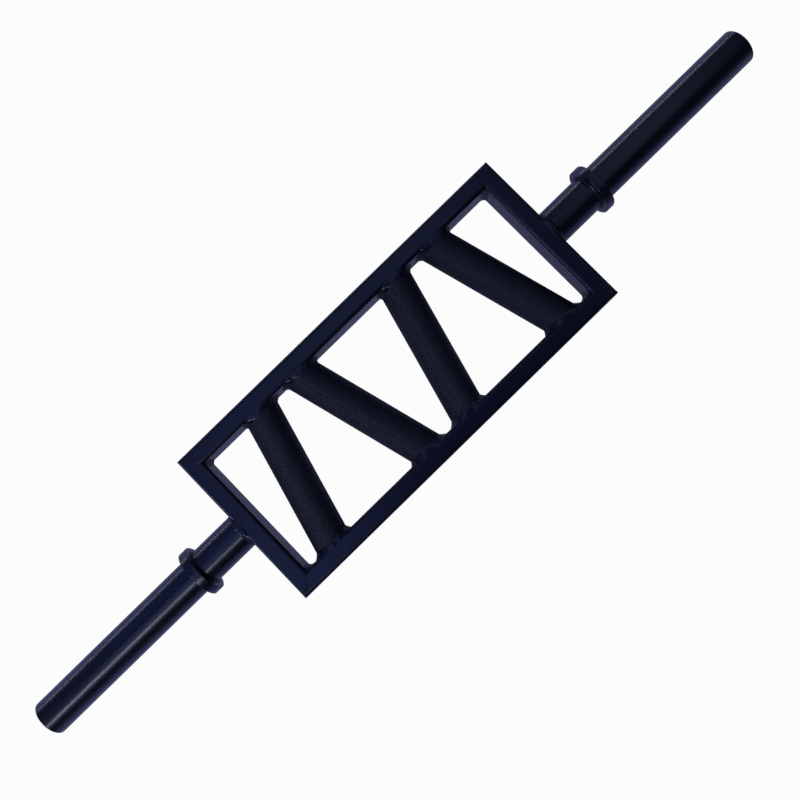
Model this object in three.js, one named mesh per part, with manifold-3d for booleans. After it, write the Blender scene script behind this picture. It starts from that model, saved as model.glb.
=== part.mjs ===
// A multi-grip barbell: a rectangular tube frame with four slanted grip bars and a plate sleeve at each end.
// Millimetres. +X runs along the sleeves, +Y towards the upper rail and +Z out of the frame's front.
import * as THREE from 'three';
import { mergeVertices } from 'three/addons/utils/BufferGeometryUtils.js';
import Module from 'manifold-3d';

const wasm = await Module();
wasm.setup();

// Overall sizes
const overallLength = 1255;
const frameLength = 556;
const frameWidth = 240;

// Rectangular tube of the rails and end members
const memberFace = 25;
const memberDepth = 50;
const memberWall = 3;
const memberCorner = 5;
const memberBoreCorner = 2;

// Grip bars: round tube, with one clear gap wherever two neighbours, or a grip and an end member, close up
const gripCount = 4;
const gripDiameter = 50;
const gripWall = 3;
const gripGap = 19;

// Sleeves: round tube from the frame to the bar's end
const sleeveDiameter = 50;
const sleeveWall = 4;
const sleeveEndChamfer = 1.5;

// Collars that stop the plates: a ring that stands up from the sleeve
const collarHeight = 9.5;
const collarThickness = 13;
const collarChamfer = 1;
const stubLength = 71.5;

// Discs that close the sleeves
const capThickness = 6;
const capRecess = 1;

// Welds, each with its small clearance to the steel that it joins
const weldGap = 0.3;
const cornerSeam = 1.5;
const cornerFillet = 6;
const gripWeldLeg = 6;
const sleeveWeldLeg = 5;
const collarWeldLeg = 3;
const weldRise = 1.2;

// Facets
const roundSteps = 32;
const cornerSteps = 3;
const filletSteps = 4;

const gripRadius = gripDiameter / 2;
const sleeveRadius = sleeveDiameter / 2;
const collarRadius = sleeveRadius + collarHeight;
const clearWidth = frameWidth - 2 * memberFace;
const clearLength = frameLength - 2 * memberFace;
const frameEnd = frameLength / 2;
const collarFace = frameEnd + stubLength;
const mitreSetback = (cornerSeam / 2 + weldGap) * Math.SQRT2;

// The grips fill the frame's clear length, so their lean follows from the gaps:
// gripCount * (gripDiameter / cos(lean) + clearWidth * tan(lean)) = freeLength
const freeLength = clearLength - (gripCount + 1) * gripGap;
const gripLean = Math.acos((gripCount * gripDiameter) / Math.hypot(freeLength, gripCount * clearWidth))
  - Math.atan2(gripCount * clearWidth, freeLength);
const gripPitch = gripDiameter / Math.cos(gripLean) + clearWidth * Math.tan(gripLean) + gripGap;

function paint(color, roughness, metalness) {
  return new THREE.MeshStandardMaterial({ color, roughness, metalness });
}

const framePaint = paint('#14172c', 0.38, 0.1);
const gripPaint = paint('#101220', 0.55, 0.1);
const sleevePaint = paint('#12152a', 0.32, 0.1);
const weldPaint = paint('#1a1d33', 0.34, 0.1);

const bar = new THREE.Group();

function add(name, geometry, material, place = {}) {
  const { x = 0, y = 0, turn = 0 } = place;
  const mesh = new THREE.Mesh(geometry, material);
  mesh.name = name;
  mesh.position.set(x, y, 0);
  mesh.rotation.z = turn;
  bar.add(mesh);
}

function roundedRectangle(PathType, width, height, radius) {
  const x = width / 2;
  const y = height / 2;
  const path = new PathType();
  path.moveTo(x, radius - y);
  path.absarc(x - radius, y - radius, radius, 0, Math.PI / 2);
  path.absarc(radius - x, y - radius, radius, Math.PI / 2, Math.PI);
  path.absarc(radius - x, radius - y, radius, Math.PI, 1.5 * Math.PI);
  path.absarc(x - radius, radius - y, radius, 1.5 * Math.PI, 2 * Math.PI);
  return path;
}

// The tube's section: its depth along x, and its outer face at +y
function memberSection() {
  const section = roundedRectangle(THREE.Shape, memberDepth, memberFace, memberCorner);
  const boreDepth = memberDepth - 2 * memberWall;
  const boreFace = memberFace - 2 * memberWall;
  section.holes.push(roundedRectangle(THREE.Path, boreDepth, boreFace, memberBoreCorner));
  return section;
}

function extrudeAlongX(shape, length) {
  const options = { depth: length, bevelEnabled: false, curveSegments: cornerSteps };
  const geometry = new THREE.ExtrudeGeometry(shape, options);
  geometry.translate(0, 0, -length / 2);
  geometry.rotateY(Math.PI / 2);
  return geometry;
}

// A frame tube along X: both ends are cut to the mitre and set back for half the seam
function mitredMember(length) {
  const geometry = extrudeAlongX(memberSection(), length);
  const { position } = geometry.attributes;
  for (let i = 0; i < position.count; i++) {
    const belowOuterFace = memberFace / 2 - position.getY(i);
    const cut = belowOuterFace + mitreSetback;
    position.setX(i, position.getX(i) - Math.sign(position.getX(i)) * cut);
  }
  return geometry;
}

function toSolid(geometry) {
  const bare = geometry.clone();
  bare.deleteAttribute('normal');
  bare.deleteAttribute('uv');
  const merged = mergeVertices(bare);
  const vertProperties = new Float32Array(merged.attributes.position.array);
  const triVerts = new Uint32Array(merged.index.array);
  return new wasm.Manifold(new wasm.Mesh({ numProp: 3, vertProperties, triVerts }));
}

function toGeometry(solid) {
  const mesh = solid.getMesh();
  const geometry = new THREE.BufferGeometry();
  geometry.setAttribute('position', new THREE.BufferAttribute(mesh.vertProperties, 3));
  geometry.setIndex(new THREE.BufferAttribute(mesh.triVerts, 1));
  geometry.computeVertexNormals();
  return geometry;
}

// The weld metal in one mitre, seen from the front at the upper left corner.
// Its origin is the crossing of the two tubes' centre lines.
function cornerWeld() {
  const seam = extrudeAlongX(memberSection(), cornerSeam * Math.SQRT2);
  seam.applyMatrix4(new THREE.Matrix4().makeShear(0, 0, -1, 0, 0, 0));

  // Inside the corner a hollow fillet runs from one tube's face to the other's, with its root in the seam
  const near = weldGap;
  const far = weldGap + cornerFillet;
  const root = cornerSeam * Math.SQRT1_2;
  const outline = new THREE.Shape();
  outline.moveTo(near, -far);
  outline.lineTo(near, -root);
  outline.lineTo(near - root, 0);
  outline.lineTo(0, root - near);
  outline.lineTo(root, -near);
  outline.absarc(far, -far, cornerFillet, Math.PI / 2, Math.PI, false);
  const flatDepth = memberDepth - 2 * memberCorner;
  const options = { depth: flatDepth, bevelEnabled: false, curveSegments: filletSteps };
  const fillet = new THREE.ExtrudeGeometry(outline, options);
  fillet.translate(memberFace / 2, -memberFace / 2, -flatDepth / 2);

  // The seam is ground flush with both tubes
  const cornerBlock = toSolid(new THREE.BoxGeometry(memberFace, memberFace, memberDepth));
  return toGeometry(toSolid(seam).intersect(cornerBlock).add(toSolid(fillet)));
}

// A closed profile of [radius, height] points turned about Y, with a flat facet at the front
function turned(profile, steps = roundSteps) {
  const points = [...profile, profile[0]].map(([radius, height]) => new THREE.Vector2(radius, height));
  return new THREE.LatheGeometry(points, steps, Math.PI / steps);
}

function roundTube(radius, wall, from, to, chamfer) {
  return turned([
    [radius - wall, from],
    [radius, from],
    [radius, to - chamfer],
    [radius - chamfer, to],
    [radius - wall, to],
  ]);
}

// A weld bead round a tube, against a face at the given height that looks up (1) or down (-1)
function weldRing(radius, height, leg, facing) {
  const inner = radius + weldGap;
  const face = height + facing * weldGap;
  const profile = [
    [inner, face],
    [inner + leg, face],
    [inner, face + facing * leg],
  ];
  return turned(facing > 0 ? profile : profile.reverse());
}

// Where the tube is as deep as the frame, its bead is flattened just above the frame's front and back
function flattenToFrame(geometry, radius) {
  const limit = Math.max(memberDepth / 2, radius + weldGap) + weldRise;
  const { position } = geometry.attributes;
  for (let i = 0; i < position.count; i++) {
    position.setZ(i, THREE.MathUtils.clamp(position.getZ(i), -limit, limit));
  }
}

// Leans a piece that stands along Y towards +X and keeps its ends parallel to the rails
function slant(geometry, lean) {
  geometry.scale(1 / Math.cos(lean), 1, 1);
  return geometry.applyMatrix4(new THREE.Matrix4().makeShear(0, 0, Math.tan(lean), 0, 0, 0));
}

function addFrame() {
  const railPlace = (frameWidth - memberFace) / 2;
  const endPlace = (frameLength - memberFace) / 2;
  add('rail_upper', mitredMember(frameLength), framePaint, { y: railPlace });
  add('rail_lower', mitredMember(frameLength), framePaint, { y: -railPlace, turn: Math.PI });
  add('end_member_left', mitredMember(frameWidth), framePaint, { x: -endPlace, turn: Math.PI / 2 });
  add('end_member_right', mitredMember(frameWidth), framePaint, { x: endPlace, turn: -Math.PI / 2 });

  const corners = [
    ['corner_weld_upper_left', -1, 1, 0],
    ['corner_weld_upper_right', 1, 1, -Math.PI / 2],
    ['corner_weld_lower_right', 1, -1, Math.PI],
    ['corner_weld_lower_left', -1, -1, Math.PI / 2],
  ];
  for (const [name, sideX, sideY, turn] of corners) {
    add(name, cornerWeld(), weldPaint, { x: sideX * endPlace, y: sideY * railPlace, turn });
  }
}

function addGrip(number, x, lean) {
  const halfLength = clearWidth / 2 - weldGap;
  const tube = turned([
    [gripRadius - gripWall, -halfLength],
    [gripRadius, -halfLength],
    [gripRadius, halfLength],
    [gripRadius - gripWall, halfLength],
  ]);
  add(`grip_bar_${number}`, slant(tube, lean), gripPaint, { x });

  for (const [end, side] of [['upper', 1], ['lower', -1]]) {
    const bead = weldRing(gripRadius, side * clearWidth / 2, gripWeldLeg, -side);
    flattenToFrame(bead, gripRadius);
    add(`grip_weld_${number}_${end}`, slant(bead, lean), weldPaint, { x });
  }
}

function addSleeve(side, direction) {
  const end = overallLength / 2;
  const turn = -direction * Math.PI / 2;
  const tube = roundTube(sleeveRadius, sleeveWall, frameEnd + weldGap, end, sleeveEndChamfer);
  add(`sleeve_${side}`, tube, sleevePaint, { turn });

  const sleeveBead = weldRing(sleeveRadius, frameEnd, sleeveWeldLeg, 1);
  flattenToFrame(sleeveBead, sleeveRadius);
  add(`sleeve_weld_${side}`, sleeveBead, weldPaint, { turn });

  // The collar's flats stand at its full radius
  const bore = sleeveRadius + weldGap;
  const rim = collarRadius / Math.cos(Math.PI / roundSteps);
  const collar = turned([
    [bore, collarFace],
    [rim - collarChamfer, collarFace],
    [rim, collarFace + collarChamfer],
    [rim, collarFace + collarThickness - collarChamfer],
    [rim - collarChamfer, collarFace + collarThickness],
    [bore, collarFace + collarThickness],
  ]);
  add(`collar_${side}`, collar, sleevePaint, { turn });

  const collarBead = weldRing(sleeveRadius, collarFace, collarWeldLeg, -1);
  add(`collar_weld_${side}`, collarBead, weldPaint, { turn });

  const capRadius = sleeveRadius - sleeveWall - weldGap;
  const cap = new THREE.CylinderGeometry(capRadius, capRadius, capThickness, roundSteps);
  cap.rotateY(Math.PI / roundSteps);
  cap.translate(0, end - capRecess - capThickness / 2, 0);
  add(`end_cap_${side}`, cap, sleevePaint, { turn });
}

addFrame();

// Neighbouring grips lean opposite ways, so that they pair up at the rails
for (let i = 0; i < gripCount; i++) {
  const x = (i - (gripCount - 1) / 2) * gripPitch;
  addGrip(i + 1, x, i % 2 === 0 ? gripLean : -gripLean);
}

addSleeve('left', -1);
addSleeve('right', 1);

export default bar;
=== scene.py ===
import math

import bmesh
import bpy
from mathutils import Euler, Matrix, Vector, noise


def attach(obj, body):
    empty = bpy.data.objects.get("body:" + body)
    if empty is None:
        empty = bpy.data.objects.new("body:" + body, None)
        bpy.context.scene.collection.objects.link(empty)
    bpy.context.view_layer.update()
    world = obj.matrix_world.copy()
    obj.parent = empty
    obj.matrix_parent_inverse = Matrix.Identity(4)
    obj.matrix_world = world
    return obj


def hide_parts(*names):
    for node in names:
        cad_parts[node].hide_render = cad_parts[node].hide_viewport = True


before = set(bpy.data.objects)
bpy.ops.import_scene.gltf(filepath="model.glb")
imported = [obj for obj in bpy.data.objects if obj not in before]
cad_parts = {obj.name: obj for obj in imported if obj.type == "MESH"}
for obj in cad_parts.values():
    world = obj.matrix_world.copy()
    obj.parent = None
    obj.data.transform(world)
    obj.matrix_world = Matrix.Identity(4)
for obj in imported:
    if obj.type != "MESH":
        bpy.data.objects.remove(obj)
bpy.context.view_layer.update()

# Frame of rectangular tube
FRAME_LENGTH = 0.556
FRAME_WIDTH = 0.240
TUBE_FACE = 0.025
TUBE_DEPTH = 0.050
TUBE_WALL = 0.003
TUBE_CORNER = 0.005
BORE_CORNER = 0.002

# Ground-back seams of the mitred corners. Grinding reached down over a share of the tubes' rounded edges
SEAM_WIDTH = 0.0021
GROUND_ROUNDING = 0.3
PIT_DEPTH = 0.0009

# Places and sizes of marks on a seam, as shares of its width or its length
SEAM_SLICES_ACROSS = (-0.33, -0.17, 0, 0.17, 0.33)
SEAM_RIM = 0.99
SEAM_OUTER_HALF = (0.4, 0.7)
SEAM_PITTED = (0.35, 0.8)
SCAR_SIZE = 0.09
PIT_SIZE = 0.05

# A seam's rise wanders by a swing about a mean, and a pit lies where a second noise passes its peak
SCAR_MEAN = 0.7
SCAR_SWING = 1.2
PIT_PEAK = 0.7
SECOND_NOISE = 5

# Hollow fillets inside the corners. Each narrows towards its ends, over a length, to a share of its reach
CORNER_FILLET = 0.0065
FILLET_SUNK = 0.0003
FILLET_TAPER = 0.004
FILLET_END_SHARE = 0.7
FILLET_WAVE = 0.006
FILLET_WAVE_SHARE = 0.3
FILLET_RIPPLE = 0.00015

# Knurled grips and their centres along the bar. The knurl is a coarse one, because a finer one wouldn't show
GRIP_RADIUS = 0.025
GRIP_BORE = 0.022
GRIP_PLACES = (-0.182625, -0.060875, 0.060875, 0.182625)
GRIP_LEAN = math.radians(15.02)
KNURL_PITCH = 0.002
KNURL_DEPTH = 0.0003

# Sleeves, their collars and the discs that close them
SLEEVE_RADIUS = 0.025
SLEEVE_BORE = 0.021
SLEEVE_START = FRAME_LENGTH / 2
SLEEVE_END = 0.6275
SLEEVE_ROUNDING = 0.0018
SLEEVE_BORE_BREAK = 0.0004
COLLAR_RADIUS = 0.0345
COLLAR_FACE = 0.3495
COLLAR_THICKNESS = 0.013
COLLAR_ROUNDING = 0.0011
CAP_RECESS = 0.001
CAP_THICKNESS = 0.006
CAP_ROUNDING = 0.0006
FIT_GAP = 0.0001

# Weld beads. Their toes are sunk a little, and some reach past the edge of a tube's face
GRIP_LEG = 0.0062
SLEEVE_LEG = 0.005
COLLAR_LEG = 0.0032
RIPPLE_PITCH = 0.0031
TOE_SUNK = 0.0004
PAST_EDGE = 0.0008
PAST_EDGE_WANDER = 0.002

# A bead's hollow, its lumps and how far its toes wander, as shares of its leg, and how often they come round
HOLLOW_SHARE = 0.12
LUMP_SHARE = 0.05
FACE_LEG_WANDER = 0.22
TUBE_LEG_WANDER = 0.2
WANDERS_AROUND = 2.2
LUMPS_AROUND = 7

# A bead starts to wrap where the sine of its angle round the tube passes a value, and is full a span later
WRAP_FROM = 0.72
WRAP_SPAN = 0.2

# Where a bead was started it stands up in a lump, at its left front and left back
START_HEIGHT = 0.0013
START_PLACE = math.radians(127)
START_SPAN = math.radians(13)

FLOOR_RADIUS = 14.0

# How finely round shapes are divided
FLOOR_STEPS = 64
ROUND_STEPS = 128
BORE_STEPS = 32
BEAD_STEPS = 208
BEAD_LAYERS = 10
TUBE_CORNER_STEPS = 6
ROUNDING_STEPS = 5
SEAM_SLICES_ALONG = 24
FILLET_STEPS = 8
FILLET_LAYERS = 96

RIGHT_ANGLE = math.pi / 2
MERGE_DISTANCE = 1e-7
TOLERANCE = 1e-5

# Powder coat: the sizes of its clouds of colour and of its patches of gloss, the depths in the frame between
# which it changes from dry to well covered, and the refractive index of its skin
CLOUD_SIZE = 0.035
GLOSS_PATCH_SIZE = 0.009
DRY_WITHIN = 0.39 * TUBE_DEPTH
COVERED_BEYOND = 0.46 * TUBE_DEPTH
SKIN_IOR = 1.45


def linear(hex_colour):
    """An sRGB colour such as "#12162b" as linear red, green, blue and alpha."""
    shares = [int(hex_colour[i:i + 2], 16) / 255 for i in (1, 3, 5)]
    return [s / 12.92 if s <= 0.04045 else ((s + 0.055) / 1.055) ** 2.4 for s in shares] + [1]


def add_node(tree, kind, settings=None, values=(), **inputs):
    """Adds a shader node. Its inputs take values or other nodes' sockets, in order or by name, with _ for a
    space."""
    node = tree.nodes.new(kind)
    for name, value in (settings or {}).items():
        setattr(node, name, value)
    sockets = list(zip(node.inputs, values))
    sockets += [(node.inputs[name.replace("_", " ")], value) for name, value in inputs.items()]
    for socket, value in sockets:
        if isinstance(value, bpy.types.NodeSocket):
            tree.links.new(value, socket)
        else:
            socket.default_value = value
    return node


def new_material(name):
    material = bpy.data.materials.new(name)
    material.use_nodes = True
    material.node_tree.nodes.clear()
    return material, material.node_tree


def powder_coat(
    name, thin, thick, smooth, dull, resin_share, resin_roughness, peel_size, peel_height, dryness=0
):
    """Powder-coated steel: polyester powder, sprayed on dry and baked. It flows out to a matt skin under a
    film of clear resin. The colour is a little bluer where the coat lies thin, the roughness wanders from
    smooth to dull, and orange peel of a given size and height breaks up what it mirrors."""
    material, tree = new_material(name)
    place = add_node(tree, "ShaderNodeTexCoord").outputs["Object"]

    cloud = add_node(
        tree, "ShaderNodeTexNoise", Vector=place, Scale=1 / CLOUD_SIZE, Detail=3.0, Roughness=0.6
    )
    tint = add_node(tree, "ShaderNodeValToRGB", Fac=cloud.outputs["Fac"])
    tint.color_ramp.elements[0].position = 0.35
    tint.color_ramp.elements[0].color = linear(thin)
    tint.color_ramp.elements[1].position = 0.65
    tint.color_ramp.elements[1].color = linear(thick)

    patch = add_node(tree, "ShaderNodeTexNoise", Vector=place, Scale=1 / GLOSS_PATCH_SIZE, Detail=1.0)
    gloss = add_node(
        tree,
        "ShaderNodeMapRange",
        Value=patch.outputs["Fac"],
        From_Min=0.3,
        From_Max=0.7,
        To_Min=smooth,
        To_Max=dull,
    )
    roughness = gloss.outputs["Result"]
    if dryness:
        # Powder hardly reaches into the corners between tubes, so deep in the frame it lies rough
        parts = add_node(tree, "ShaderNodeSeparateXYZ", Vector=place)
        depth = add_node(tree, "ShaderNodeMath", {"operation": "ABSOLUTE"}, (parts.outputs["Z"],))
        extra = add_node(
            tree,
            "ShaderNodeMapRange",
            Value=depth.outputs[0],
            From_Min=DRY_WITHIN,
            From_Max=COVERED_BEYOND,
            To_Min=dryness,
            To_Max=0.0,
        )
        both = add_node(tree, "ShaderNodeMath", {"operation": "ADD"}, (roughness, extra.outputs["Result"]))
        roughness = both.outputs[0]

    peel = add_node(tree, "ShaderNodeTexNoise", Vector=place, Scale=1 / peel_size, Detail=2.0)
    bump = add_node(tree, "ShaderNodeBump", Height=peel.outputs["Fac"], Strength=1.0, Distance=peel_height)
    skin = add_node(
        tree,
        "ShaderNodeBsdfPrincipled",
        Base_Color=tint.outputs["Color"],
        Roughness=roughness,
        Normal=bump.outputs["Normal"],
        IOR=SKIN_IOR,
        Specular_Tint=linear("#8f9cff"),
        Coat_Weight=resin_share,
        Coat_Roughness=resin_roughness,
    )
    add_node(tree, "ShaderNodeOutputMaterial", Surface=skin.outputs["BSDF"])
    return material


# On flat drawn tube the coat is satin: it mirrors the lamps as broad, soft navy fields without an edge
frame_coat = powder_coat(
    "satin_powder_coat_on_frame_tube",
    thin="#070915",
    thick="#06080f",
    smooth=0.34,
    dull=0.44,
    resin_share=0.28,
    resin_roughness=0.22,
    peel_size=0.003,
    peel_height=0.000006,
)

# On knurling it fills the grooves and stays dull, so the points show as a fine grey grain. The powder's own
# grain is finer than 0.8 mm, and is drawn that coarse so that it shows
grip_coat = powder_coat(
    "powder_coat_on_knurled_tube",
    thin="#0a0c16",
    thick="#080a12",
    smooth=0.52,
    dull=0.62,
    resin_share=0.4,
    resin_roughness=0.5,
    peel_size=0.0008,
    peel_height=0.00002,
)

# On smooth sleeve tube the resin film is strongest, and draws each lamp out to a bright band along the tube
sleeve_coat = powder_coat(
    "smooth_powder_coat_on_sleeve_tube",
    thin="#060919",
    thick="#050712",
    smooth=0.3,
    dull=0.34,
    resin_share=0.52,
    resin_roughness=0.27,
    peel_size=0.004,
    peel_height=0.000003,
)

# Over weld metal the resin film glints on every lump, and the skin goes dull where the powder runs dry
weld_coat = powder_coat(
    "powder_coat_on_weld_metal",
    thin="#070914",
    thick="#06070e",
    smooth=0.4,
    dull=0.5,
    resin_share=0.32,
    resin_roughness=0.16,
    peel_size=0.0012,
    peel_height=0.000006,
    dryness=0.3,
)


def hand_over(bm, name, node, material, sharp_angle):
    """Makes the finished mesh a piece that stands for a CAD node. Edges that bend by more than the sharp
    angle, in degrees, stay sharp, and with an angle of 0 every face stays flat."""
    mesh = bpy.data.meshes.new(name)
    bm.to_mesh(mesh)
    bm.free()
    mesh.materials.append(material)
    if sharp_angle:
        mesh.shade_smooth()
        mesh.set_sharp_from_angle(angle=math.radians(sharp_angle))
    piece = bpy.data.objects.new(name, mesh)
    bpy.context.scene.collection.objects.link(piece)
    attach(piece, "root")
    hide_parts(node)
    return piece


def keep_flats_flat(piece):
    modifier = piece.modifiers.new("flat faces keep their shading", "WEIGHTED_NORMAL")
    modifier.keep_sharp = True


def cut(bm, point, outward):
    """Cuts the mesh at a plane, throws away what lies outward of it and returns the cut's edges."""
    everything = bm.verts[:] + bm.edges[:] + bm.faces[:]
    result = bmesh.ops.bisect_plane(
        bm, geom=everything, dist=MERGE_DISTANCE, plane_co=point, plane_no=outward, clear_outer=True
    )
    return [e for e in result["geom_cut"] if isinstance(e, bmesh.types.BMEdge)]


def rectangular_shell(bm, length, face, depth, corner):
    """The side walls of a rectangular tube along X, open at both ends, with rounded long edges."""
    corners = set(bmesh.ops.create_cube(bm, size=1.0)["verts"])
    bmesh.ops.scale(bm, vec=(length, face, depth), verts=list(corners))
    own_faces = [f for f in bm.faces if f.verts[0] in corners]
    ends = [f for f in own_faces if abs(f.calc_center_median().x) > length / 4]
    bmesh.ops.delete(bm, geom=ends, context="FACES_ONLY")
    own_edges = [e for e in bm.edges if e.verts[0] in corners]
    long_edges = [e for e in own_edges if abs(e.verts[0].co.x - e.verts[1].co.x) > length / 2]
    bmesh.ops.bevel(
        bm,
        geom=long_edges,
        offset=corner,
        affect="EDGES",
        segments=TUBE_CORNER_STEPS,
        profile=0.5,
        material=-1,
    )


def place_at_corner(bm, x, y, turn):
    """Turns a piece about its own origin and moves it to its place on the frame."""
    bmesh.ops.rotate(bm, cent=(0, 0, 0), matrix=Matrix.Rotation(turn, 3, "Z"), verts=bm.verts)
    bmesh.ops.translate(bm, vec=(x, y, 0), verts=bm.verts)


def mitred_tube(node, length, x, y, turn):
    """A frame tube that is cut at 45 degrees at both ends, with its outer face at +Y before it is turned."""
    bm = bmesh.new()
    uncut = 2 * length
    rectangular_shell(bm, uncut, TUBE_FACE, TUBE_DEPTH, TUBE_CORNER)
    rectangular_shell(bm, uncut, TUBE_FACE - 2 * TUBE_WALL, TUBE_DEPTH - 2 * TUBE_WALL, BORE_CORNER)
    room_for_seam = SEAM_WIDTH / 2 * math.sqrt(2)
    for side in (-1, 1):
        rim = cut(bm, (side * (length / 2 - room_for_seam), TUBE_FACE / 2, 0), (side, -1, 0))
        bmesh.ops.bridge_loops(bm, edges=rim)
    bmesh.ops.recalc_face_normals(bm, faces=bm.faces)
    place_at_corner(bm, x, y, turn)
    tube = hand_over(bm, node + "_tube", node, frame_coat, sharp_angle=40)
    keep_flats_flat(tube)


def ground_seam(bm, seed, inner_rise, outer_rise, pit_share):
    """A slice of solid tube that fills the mitre from lower right to upper left. At the front and back it
    stands proud or lies low by a rise for its inner and its outer half, and more of it is pitted as the pit
    share grows."""
    uncut = 6 * TUBE_FACE
    rectangular_shell(bm, uncut, TUBE_FACE, TUBE_DEPTH, TUBE_CORNER)
    outward = Vector((-1, 1, 0)).normalized()
    across = Vector((1, 1, 0)).normalized()
    rims = [cut(bm, side * across * SEAM_WIDTH / 2, side * across) for side in (-1, 1)]
    for rim in rims:
        bmesh.ops.contextual_create(bm, geom=rim)
    for side in (-1, 1):
        rim = cut(bm, (side * TUBE_FACE / 2, 0, 0), (side, 0, 0))
        bmesh.ops.contextual_create(bm, geom=rim)
    # The outer corner is broken as wide as the seam
    tip = TUBE_FACE / 2 * math.sqrt(2) - SEAM_WIDTH / 2
    rim = cut(bm, outward * tip, outward)
    bmesh.ops.contextual_create(bm, geom=rim)
    bmesh.ops.recalc_face_normals(bm, faces=bm.faces)

    slices = [(across, SEAM_WIDTH * share) for share in SEAM_SLICES_ACROSS]
    for i in range(1 - SEAM_SLICES_ALONG, SEAM_SLICES_ALONG):
        slices.append((outward, tip * (i / SEAM_SLICES_ALONG)))
    for normal, distance in slices:
        everything = bm.verts[:] + bm.edges[:] + bm.faces[:]
        bmesh.ops.bisect_plane(
            bm, geom=everything, dist=MERGE_DISTANCE, plane_co=normal * distance, plane_no=normal
        )
    ground_depth = TUBE_DEPTH / 2 - GROUND_ROUNDING * TUBE_CORNER
    for v in bm.verts:
        off_centre = min(1, abs(v.co.dot(across)) / (SEAM_WIDTH / 2))
        if off_centre > SEAM_RIM or abs(v.co.z) < ground_depth:
            continue
        along = (v.co.dot(outward) / tip + 1) / 2
        change = (along - SEAM_OUTER_HALF[0]) / (SEAM_OUTER_HALF[1] - SEAM_OUTER_HALF[0])
        rise = inner_rise + (outer_rise - inner_rise) * min(1, max(0, change))
        scar = noise.noise(Vector((along / SCAR_SIZE, seed, 0)))
        rise *= SCAR_MEAN + SCAR_SWING * scar
        pit = noise.noise(Vector((along / PIT_SIZE, seed, SECOND_NOISE)))
        if SEAM_PITTED[0] < along < SEAM_PITTED[1] and pit > PIT_PEAK - pit_share:
            rise -= PIT_DEPTH
        v.co.z += math.copysign(rise * math.sqrt(1 - off_centre ** 2), v.co.z)


def hollow_fillet(bm, seed, setback):
    """The weld inside the corner, drawn out along Z with its ripples across it. It stops a setback short of
    the front and back, and follows the tubes' rounded edges as far as it reaches them."""
    near = TUBE_FACE / 2 - FILLET_SUNK
    far = TUBE_FACE / 2 + CORNER_FILLET
    height = TUBE_DEPTH - 2 * setback
    outline = [(near, -near)]
    for i in range(FILLET_STEPS + 1):
        angle = RIGHT_ANGLE * i / FILLET_STEPS
        inset = CORNER_FILLET * math.sin(angle)
        outline.append((far - inset, -far + CORNER_FILLET * math.cos(angle)))
    base = bm.faces.new([bm.verts.new((px, py, -height / 2)) for px, py in outline])
    layer = (0, 0, height / FILLET_LAYERS)
    bmesh.ops.spin(
        bm, geom=[base], cent=(0, 0, 0), axis=(0, 0, 1), dvec=layer, angle=0, steps=FILLET_LAYERS
    )

    corner = near - TOLERANCE
    fillet = {v for f in bm.faces for v in f.verts if v.co.x > corner and -v.co.y > corner}
    for v in fillet:
        from_root = Vector((v.co.x - near, v.co.y + near, 0))
        reach = from_root.length
        if reach < TOLERANCE:
            continue
        end_share = (height / 2 - abs(v.co.z)) / FILLET_TAPER
        taper = min(1, FILLET_END_SHARE + (1 - FILLET_END_SHARE) * math.sqrt(max(0, end_share)))
        round_arc = 2 * math.atan2(v.co.y + near, v.co.x - near)
        wave = noise.noise(Vector((v.co.z / FILLET_WAVE, round_arc, seed)))
        ripple = abs(math.sin(math.pi * v.co.z / RIPPLE_PITCH)) - 0.5
        reach *= taper * (1 + FILLET_WAVE_SHARE * wave)
        reach += FILLET_RIPPLE * ripple * taper
        v.co = Vector((near, -near, v.co.z)) + from_root.normalized() * reach

    flat = TUBE_DEPTH / 2 - TUBE_CORNER
    last_bend = math.asin((height / 2 - flat) / TUBE_CORNER)
    for v in fillet:
        bend = last_bend * max(0, (abs(v.co.z) - flat) / (height / 2 - flat))
        if bend:
            inward = TUBE_CORNER * (1 - math.cos(bend))
            depth = math.copysign(flat + TUBE_CORNER * math.sin(bend), v.co.z)
            v.co = Vector((v.co.x - inward, v.co.y + inward, depth))


def corner_bead(node, x, y, turn, seed, inner_rise, outer_rise, pit_share, setback):
    """The weld in a mitre: a ground seam and a hollow fillet, made for the frame's upper left corner."""
    bm = bmesh.new()
    ground_seam(bm, seed, inner_rise, outer_rise, pit_share)
    hollow_fillet(bm, seed, setback)
    bmesh.ops.recalc_face_normals(bm, faces=bm.faces)
    place_at_corner(bm, x, y, turn)
    hand_over(bm, node + "_bead", node, weld_coat, sharp_angle=50)


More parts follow.
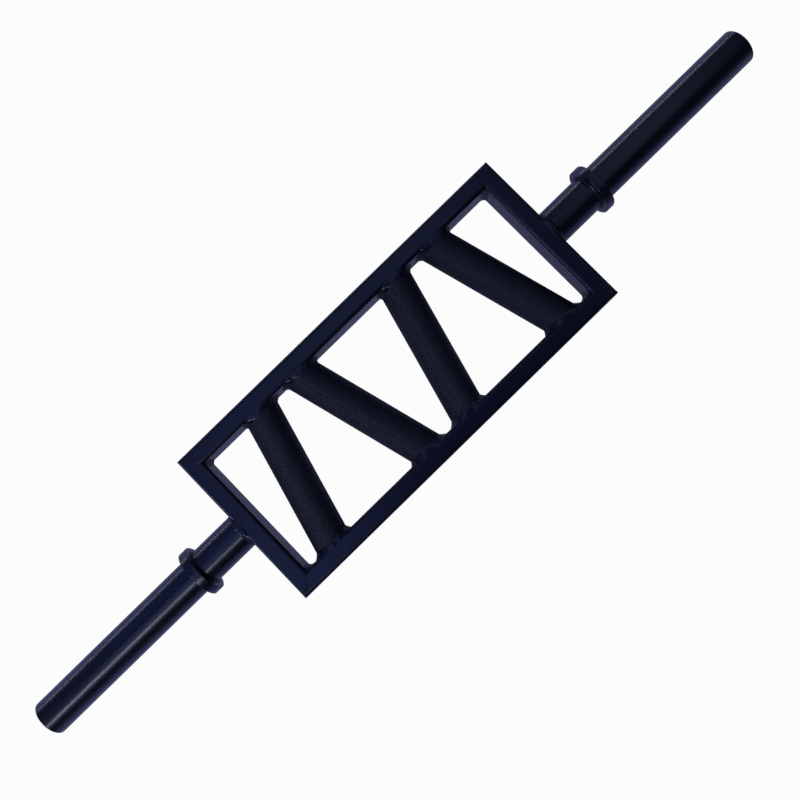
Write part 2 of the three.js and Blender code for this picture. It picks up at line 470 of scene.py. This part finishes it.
def knurled_grip(number, x, lean):
    """A knurled tube between the rails. Crossed grooves leave rows of four-sided points, two to a pitch."""
    node = f"grip_bar_{number}"
    bm = bmesh.new()
    around = 2 * round(2 * math.pi * GRIP_RADIUS / KNURL_PITCH)
    clear = FRAME_WIDTH - 2 * TUBE_FACE
    spare = 4 * KNURL_PITCH
    uncut = clear / math.cos(lean) + 2 * GRIP_RADIUS * abs(math.tan(lean)) + spare
    along = 2 * math.ceil(uncut / KNURL_PITCH)
    cell = KNURL_PITCH / 2
    length = along * cell
    bmesh.ops.create_cone(
        bm, segments=around, radius1=GRIP_RADIUS, radius2=GRIP_RADIUS, depth=length, cap_ends=False
    )
    lengthwise = [e for e in bm.edges if abs(e.verts[0].co.z - e.verts[1].co.z) > length / 2]
    bmesh.ops.subdivide_edges(bm, edges=lengthwise, cuts=along - 1, use_grid_fill=True)
    grooves = []
    for v in bm.verts:
        row = round((v.co.z + length / 2) / cell)
        column = round(math.atan2(v.co.y, v.co.x) / (2 * math.pi) * around)
        if (row + column) % 2:
            shrink = 1 - KNURL_DEPTH / GRIP_RADIUS
            v.co = Vector((v.co.x * shrink, v.co.y * shrink, v.co.z))
            grooves.append(v)
    bmesh.ops.connect_verts(bm, verts=grooves)
    bmesh.ops.create_cone(
        bm, segments=BORE_STEPS, radius1=GRIP_BORE, radius2=GRIP_BORE, depth=length, cap_ends=False
    )
    bmesh.ops.rotate(bm, cent=(0, 0, 0), matrix=Matrix.Rotation(-RIGHT_ANGLE, 3, "X"), verts=bm.verts)
    bmesh.ops.rotate(bm, cent=(0, 0, 0), matrix=Matrix.Rotation(-lean, 3, "Z"), verts=bm.verts)
    for side in (-1, 1):
        rim = cut(bm, (0, side * clear / 2, 0), (0, side, 0))
        bmesh.ops.triangle_fill(bm, use_beauty=True, edges=rim, normal=(0, side, 0))
    bmesh.ops.recalc_face_normals(bm, faces=bm.faces)
    bmesh.ops.translate(bm, vec=(x, 0, 0), verts=bm.verts)
    hand_over(bm, node + "_knurled_tube", node, grip_coat, sharp_angle=0)


def turned(bm, outline, steps):
    """Turns a closed outline of (radius, height) points about Z."""
    verts = [bm.verts.new((radius, 0, height)) for radius, height in outline]
    edges = [bm.edges.new((verts[i - 1], verts[i])) for i in range(len(verts))]
    bmesh.ops.spin(
        bm,
        geom=verts + edges,
        cent=(0, 0, 0),
        axis=(0, 0, 1),
        angle=2 * math.pi,
        steps=steps,
        use_merge=True,
    )
    bmesh.ops.remove_doubles(bm, verts=bm.verts, dist=MERGE_DISTANCE)
    bmesh.ops.recalc_face_normals(bm, faces=bm.faces)


def rounded_corner(radius, height, size, start):
    """Points of a rounded corner of an outline. If it were sharp, it would be at (radius, height). It starts
    at -90 degrees where it leads from a lower face to the side, and at 0 from the side to an upper face."""
    centre = height + size if start < 0 else height - size
    points = []
    for i in range(ROUNDING_STEPS + 1):
        angle = math.radians(start) + RIGHT_ANGLE * i / ROUNDING_STEPS
        points.append((radius - size + size * math.cos(angle), centre + size * math.sin(angle)))
    return points


def lay_along_bar(bm, direction):
    """Turns a piece that stands up along Z, so that it runs along the bar towards -X or +X."""
    turn = Matrix.Rotation(direction * RIGHT_ANGLE, 3, "Y")
    bmesh.ops.rotate(bm, cent=(0, 0, 0), matrix=turn, verts=bm.verts)


def toe_on_tube_wall(reach):
    """Follows a frame tube's surface for a reach from the middle of its face: along the flat, round the edge
    and on over the next face. Returns the depth that it comes to and how far it went down past the first."""
    flat = TUBE_DEPTH / 2 - TUBE_CORNER
    if reach <= flat:
        return reach, 0.0
    bend = (reach - flat) / TUBE_CORNER
    if bend <= RIGHT_ANGLE:
        return flat + TUBE_CORNER * math.sin(bend), TUBE_CORNER * (1 - math.cos(bend))
    return TUBE_DEPTH / 2, reach - flat + TUBE_CORNER * (1 - RIGHT_ANGLE)


def weld_bead(radius, leg, seed, wraps, crown, ripple_height, lean=0.0, start_lump=0.0):
    """A weld bead round a tube that stands on a face at height zero. The tube leans towards +X. The bead is
    hollow between its toes. Where the face rounds away under the tube, at its front and back, a bead that
    wraps runs over the edge and fills it up to a crown."""
    bm = bmesh.new()
    outline = [(radius, 0.0)]
    for i in range(BEAD_LAYERS + 1):
        angle = RIGHT_ANGLE * i / BEAD_LAYERS
        outline.append((radius + leg * math.cos(angle), leg * math.sin(angle)))
    turned(bm, outline, BEAD_STEPS)
    for v in bm.verts:
        ring = math.atan2(v.co.y, v.co.x)
        out = Vector((math.cos(ring), math.sin(ring), 0))
        rise = v.co.z
        from_tube = Vector((v.co.x, v.co.y, 0)).length - radius
        share = math.atan2(rise, from_tube) / RIGHT_ANGLE
        if math.hypot(rise, from_tube) < leg / 2:
            v.co = out * radius
            continue
        frontness = min(1, max(0, (abs(math.sin(ring)) - WRAP_FROM) / WRAP_SPAN)) if wraps else 0
        wander = noise.noise(out * WANDERS_AROUND + Vector((0, 0, seed)))
        lump = noise.noise(out * LUMPS_AROUND + Vector((0, 0, seed + SECOND_NOISE)))
        face_leg = leg * (1 + FACE_LEG_WANDER * wander)
        tube_leg = leg * (1 + TUBE_LEG_WANDER * lump)
        depth, drop = (radius + face_leg) * abs(math.sin(ring)), 0.0
        if wraps:
            edge = TUBE_DEPTH / 2 + (RIGHT_ANGLE - 1) * TUBE_CORNER
            depth, drop = toe_on_tube_wall(min(depth, edge + PAST_EDGE + PAST_EDGE_WANDER * wander))
        depth = math.copysign(depth, math.sin(ring))
        toe = Vector(((radius + face_leg) * math.cos(ring), depth, -drop))
        top = out * radius + Vector((0, 0, tube_leg))
        chord = top - toe
        normal = out - chord * (out.dot(chord) / chord.length_squared)
        normal.normalize()
        ripple = abs(math.sin(ring * radius * math.pi / RIPPLE_PITCH)) - 0.5
        belly = leg * (-HOLLOW_SHARE + (crown + HOLLOW_SHARE) * frontness + LUMP_SHARE * lump)
        belly += ripple_height * (2 - frontness) * ripple
        from_start = abs(abs(ring) - START_PLACE) / START_SPAN
        belly += start_lump * math.exp(-from_start ** 2)
        sunk = TOE_SUNK * abs(2 * share - 1) ** 4
        v.co = toe + chord * share + normal * (belly * math.sin(math.pi * share) - sunk)
    if lean:
        stretch = Matrix(((1 / math.cos(lean), 0, math.tan(lean)), (0, 1, 0), (0, 0, 1)))
        bmesh.ops.transform(bm, matrix=stretch.to_4x4(), verts=bm.verts)
    return bm


def grip_bead(number, x, lean, end, side):
    """The bead at one end of a grip. It is made standing up, laid onto the rail's inner face and mirrored
    there. Only the upper beads show where they were started."""
    node = f"grip_weld_{number}_{end}"
    bm = weld_bead(
        GRIP_RADIUS,
        GRIP_LEG,
        seed=11 * number + side,
        wraps=True,
        crown=0.02,
        ripple_height=0.00003,
        lean=-side * lean,
        start_lump=START_HEIGHT if side > 0 else 0.0,
    )
    # Height zero is the rail's inner face, and height runs towards the middle of the frame
    upright = Matrix(((1, 0, 0), (0, 0, -side), (0, 1, 0)))
    bmesh.ops.transform(bm, matrix=upright.to_4x4(), verts=bm.verts)
    bmesh.ops.recalc_face_normals(bm, faces=bm.faces)
    clear = FRAME_WIDTH / 2 - TUBE_FACE
    bmesh.ops.translate(bm, vec=(x + side * clear * math.tan(lean), side * clear, 0), verts=bm.verts)
    hand_over(bm, node + "_bead", node, weld_coat, sharp_angle=60)


def sleeve_tube(side, direction):
    """The tube that carries plates, from the frame to its rounded outer end."""
    bm = bmesh.new()
    outline = [(SLEEVE_BORE, SLEEVE_START), (SLEEVE_RADIUS, SLEEVE_START)]
    outline += rounded_corner(SLEEVE_RADIUS, SLEEVE_END, SLEEVE_ROUNDING, 0)
    outline += [(SLEEVE_BORE + SLEEVE_BORE_BREAK, SLEEVE_END), (SLEEVE_BORE, SLEEVE_END - SLEEVE_BORE_BREAK)]
    turned(bm, outline, ROUND_STEPS)
    lay_along_bar(bm, direction)
    hand_over(bm, f"sleeve_{side}_tube", f"sleeve_{side}", sleeve_coat, sharp_angle=30)


def stop_collar(side, direction):
    """The ring that a plate stops against."""
    bm = bmesh.new()
    outer_face = COLLAR_FACE + COLLAR_THICKNESS
    bore = SLEEVE_RADIUS + FIT_GAP
    outline = [(bore, COLLAR_FACE)]
    outline += rounded_corner(COLLAR_RADIUS, COLLAR_FACE, COLLAR_ROUNDING, -90)
    outline += rounded_corner(COLLAR_RADIUS, outer_face, COLLAR_ROUNDING, 0)
    outline += [(bore, outer_face)]
    turned(bm, outline, ROUND_STEPS)
    lay_along_bar(bm, direction)
    hand_over(bm, f"collar_{side}_ring", f"collar_{side}", sleeve_coat, sharp_angle=40)


def end_cap(side, direction):
    """The disc let into a sleeve's outer end."""
    bm = bmesh.new()
    radius = SLEEVE_BORE - FIT_GAP
    outer_face = SLEEVE_END - CAP_RECESS
    outline = [(0, outer_face - CAP_THICKNESS), (radius, outer_face - CAP_THICKNESS)]
    outline += rounded_corner(radius, outer_face, CAP_ROUNDING, 0)
    outline += [(0, outer_face)]
    turned(bm, outline, ROUND_STEPS)
    lay_along_bar(bm, direction)
    hand_over(bm, f"end_cap_{side}_disc", f"end_cap_{side}", sleeve_coat, sharp_angle=40)


def sleeve_bead(side, direction, seed):
    """The bead between a sleeve and the frame's end member."""
    bm = weld_bead(SLEEVE_RADIUS, SLEEVE_LEG, seed, wraps=True, crown=0.28, ripple_height=0.00008)
    # The frame's depth is along Z, so the bead is turned a quarter before it is laid down
    bmesh.ops.rotate(bm, cent=(0, 0, 0), matrix=Matrix.Rotation(RIGHT_ANGLE, 3, "Z"), verts=bm.verts)
    bmesh.ops.translate(bm, vec=(0, 0, SLEEVE_START), verts=bm.verts)
    lay_along_bar(bm, direction)
    node = f"sleeve_weld_{side}"
    hand_over(bm, node + "_bead", node, weld_coat, sharp_angle=60)


def collar_bead(side, direction, seed):
    """The bead on a collar's frame side."""
    bm = weld_bead(SLEEVE_RADIUS, COLLAR_LEG, seed, wraps=False, crown=0.0, ripple_height=0.00003)
    bmesh.ops.scale(bm, vec=(1, 1, -1), verts=bm.verts)
    bmesh.ops.recalc_face_normals(bm, faces=bm.faces)
    bmesh.ops.translate(bm, vec=(0, 0, COLLAR_FACE), verts=bm.verts)
    lay_along_bar(bm, direction)
    node = f"collar_weld_{side}"
    hand_over(bm, node + "_bead", node, weld_coat, sharp_angle=60)


rail_place = (FRAME_WIDTH - TUBE_FACE) / 2
end_place = (FRAME_LENGTH - TUBE_FACE) / 2
mitred_tube("rail_upper", FRAME_LENGTH, 0, rail_place, turn=0)
mitred_tube("rail_lower", FRAME_LENGTH, 0, -rail_place, turn=math.pi)
mitred_tube("end_member_left", FRAME_WIDTH, -end_place, 0, turn=RIGHT_ANGLE)
mitred_tube("end_member_right", FRAME_WIDTH, end_place, 0, turn=-RIGHT_ANGLE)

# Two seams stand proud, one is level but pitted, and one was ground too low
corner_bead(
    "corner_weld_upper_left", -end_place, rail_place, turn=0,
    seed=1.3, inner_rise=0.0004, outer_rise=0.0, pit_share=0.0, setback=0.003,
)
corner_bead(
    "corner_weld_upper_right", end_place, rail_place, turn=-RIGHT_ANGLE,
    seed=4.1, inner_rise=0.0005, outer_rise=0.0001, pit_share=0.0, setback=0.003,
)
corner_bead(
    "corner_weld_lower_right", end_place, -rail_place, turn=math.pi,
    seed=7.7, inner_rise=0.0, outer_rise=0.0, pit_share=0.55, setback=0.0003,
)
corner_bead(
    "corner_weld_lower_left", -end_place, -rail_place, turn=RIGHT_ANGLE,
    seed=9.2, inner_rise=-0.0003, outer_rise=-0.0008, pit_share=0.2, setback=0.003,
)

# Neighbouring grips lean opposite ways
for i, place in enumerate(GRIP_PLACES):
    lean = GRIP_LEAN if i % 2 == 0 else -GRIP_LEAN
    knurled_grip(i + 1, place, lean)
    grip_bead(i + 1, place, lean, "upper", 1)
    grip_bead(i + 1, place, lean, "lower", -1)

for side, direction, seed in (("left", -1, 62), ("right", 1, 80)):
    sleeve_tube(side, direction)
    stop_collar(side, direction)
    end_cap(side, direction)
    sleeve_bead(side, direction, seed)
    collar_bead(side, direction, seed + 3)


# A plain floor under the collars. To the camera nearly all of its white is its own, and the rest takes the
# bar's soft shadow. The paint mirrors it dimmer and bluer than it looks
floor_material, tree = new_material("plain_white_floor")
ray = add_node(tree, "ShaderNodeLightPath")
own_share = 0.0
for output, share in (("Is Camera Ray", 0.97), ("Is Glossy Ray", 0.28), ("Is Transmission Ray", 0.28)):
    part = add_node(tree, "ShaderNodeMath", {"operation": "MULTIPLY"}, (ray.outputs[output], share))
    larger = add_node(tree, "ShaderNodeMath", {"operation": "MAXIMUM"}, (own_share, part.outputs[0]))
    own_share = larger.outputs[0]
own_colour = add_node(
    tree,
    "ShaderNodeMixRGB",
    Fac=ray.outputs["Is Camera Ray"],
    Color1=linear("#c4c9ff"),
    Color2=linear("#ffffff"),
)
matt = add_node(tree, "ShaderNodeBsdfDiffuse", Color=linear("#8c95c4"))
white = add_node(tree, "ShaderNodeEmission", Color=own_colour.outputs["Color"], Strength=1.0)
floor_mix = add_node(tree, "ShaderNodeMixShader", values=(own_share, matt.outputs[0], white.outputs[0]))
add_node(tree, "ShaderNodeOutputMaterial", Surface=floor_mix.outputs[0])

bm = bmesh.new()
bmesh.ops.create_circle(bm, cap_ends=True, segments=FLOOR_STEPS, radius=FLOOR_RADIUS)
bmesh.ops.translate(bm, vec=(0, 0, -COLLAR_RADIUS), verts=bm.verts)
floor_mesh = bpy.data.meshes.new("floor")
bm.to_mesh(floor_mesh)
bm.free()
floor_mesh.materials.append(floor_material)
floor = bpy.data.objects.new("floor", floor_mesh)
bpy.context.scene.collection.objects.link(floor)

# The room is dim, but past the floor's edge the picture shows it as white as the floor
world = bpy.data.worlds.new("dim_studio")
world.use_nodes = True
tree = world.node_tree
ray = add_node(tree, "ShaderNodeLightPath")
shown = add_node(
    tree,
    "ShaderNodeMixRGB",
    Fac=ray.outputs["Is Camera Ray"],
    Color1=linear("#303136"),
    Color2=linear("#fdfdfd"),
)
tree.links.new(shown.outputs["Color"], tree.nodes["Background"].inputs["Color"])
bpy.context.scene.world = world


def add_softbox(name, place, length, width, watts, colour):
    """A soft lamp, hidden from the camera. It faces the middle of the bar, with its length as near along the
    bar as that allows."""
    lamp = bpy.data.lights.new(name, "AREA")
    lamp.shape = "RECTANGLE"
    lamp.size = length
    lamp.size_y = width
    lamp.energy = watts
    lamp.color = linear(colour)[:3]
    away = Vector(place).normalized()
    along = (Vector((1, 0, 0)) - away * away.x).normalized()
    holder = bpy.data.objects.new(name, lamp)
    holder.visible_camera = False
    holder.location = place
    holder.rotation_euler = Matrix((along, away.cross(along), away)).transposed().to_euler()
    bpy.context.scene.collection.objects.link(holder)


# The key strip draws the bright line along the left sleeve, and the horizon strip the upper band on both
add_softbox("key_strip", (-1.50, -1.12, 1.90), length=1.8, width=0.26, watts=16, colour="#fffcf2")
add_softbox("horizon_strip", (0.0, 2.4, 0.05), length=5.0, width=0.16, watts=16.5, colour="#f2f4ff")

# Overhead panels give the frame's faces their navy fields, and the sleeves their blue and pale middles
add_softbox("main_panel", (-0.03, 0.63, 2.1), length=1.66, width=0.9, watts=3.8, colour="#bcd4ff")
add_softbox("left_panel", (-1.05, -0.12, 2.1), length=1.4, width=0.7, watts=3.5, colour="#aac4ff")
add_softbox("right_panel", (1.6, 0.65, 2.1), length=1.0, width=4.0, watts=4.8, colour="#eaf2ff")
add_softbox("blue_panel", (-1.35, 1.75, 2.0), length=1.4, width=1.7, watts=4.0, colour="#74a6ff")

# A box beyond the left end lights the faces that look that way
add_softbox("side_softbox", (-2.3, 0.25, 0.75), length=0.5, width=0.5, watts=7, colour="#eaf2ff")

# The camera stands over the bar, a little below its middle, at the photograph's viewing angle
camera_data = bpy.data.cameras.new("camera")
camera_data.sensor_width = 36.0
camera_data.lens = 37.723
camera = bpy.data.objects.new("camera", camera_data)
camera.location = (-0.03389, -0.09242, 1.09)
camera.rotation_euler = Euler([math.radians(a) for a in (3.284, 1.947, -44.294)], "XYZ")
bpy.context.scene.collection.objects.link(camera)
bpy.context.scene.camera = camera

bpy.context.scene.view_settings.view_transform = "Standard"
